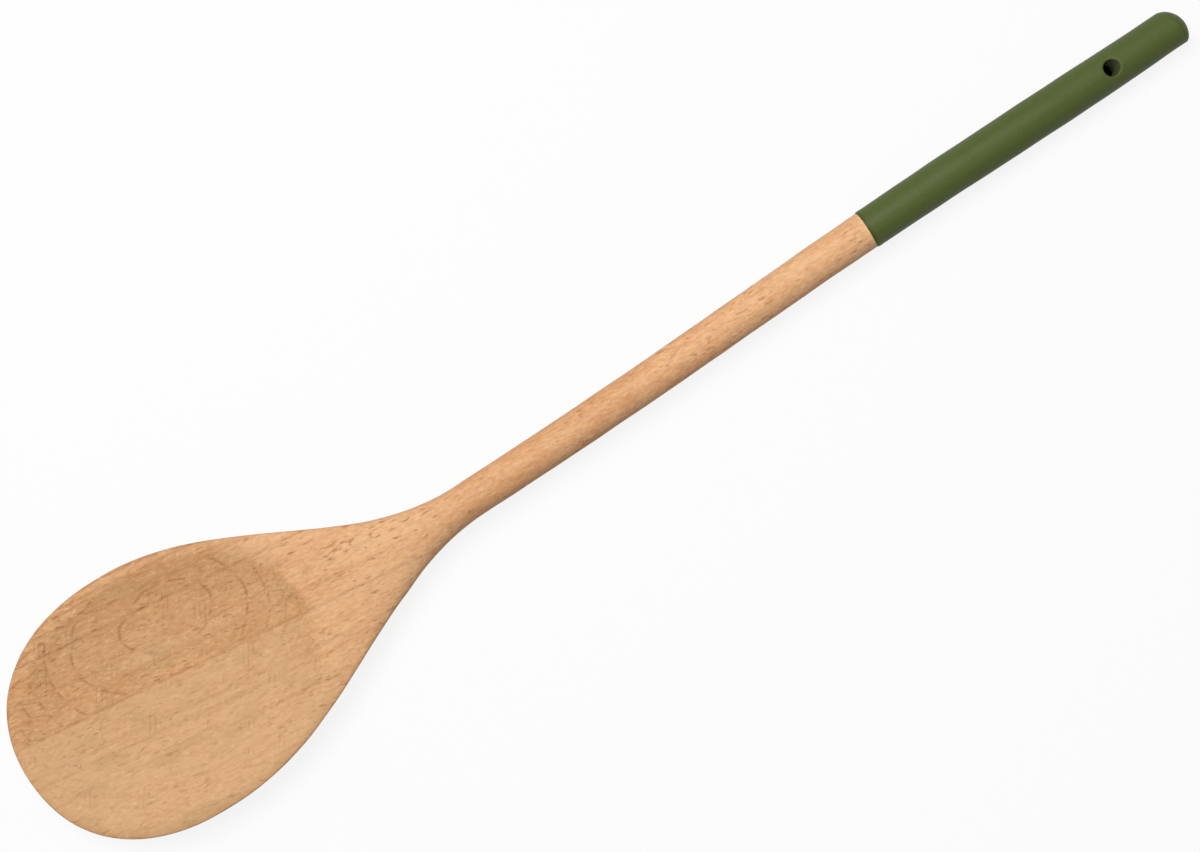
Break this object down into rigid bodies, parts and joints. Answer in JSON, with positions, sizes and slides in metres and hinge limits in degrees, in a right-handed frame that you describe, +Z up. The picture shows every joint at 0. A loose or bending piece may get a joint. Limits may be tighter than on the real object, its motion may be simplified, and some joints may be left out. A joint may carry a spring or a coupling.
{
  "type": "wooden spoon",
  "caption": "Long wooden cooking spoon with a shallow scooped oval bowl, a round handle and a dipped coloured handle end with a hanging hole.",
  "frame": {"origin": "centre of the bounding box in plan, on the surface that the spoon lies on", "axes": "+X along the spoon from the handle's end to the bowl's tip, +Z up out of the bowl's face, +Y to the left when looking along +X"},
  "size_m": [0.35, 0.0671, 0.0131],
  "materials": {
    "beech": "unvarnished sanded beech, pinkish tan, with fine dark flecks along the grain",
    "green_coat": "olive green dipped lacquer, satin"
  },
  "bodies": {
    "root": {"beech_spoon": "beech", "handle_coat": "green_coat"}
  },
  "joints": []
}
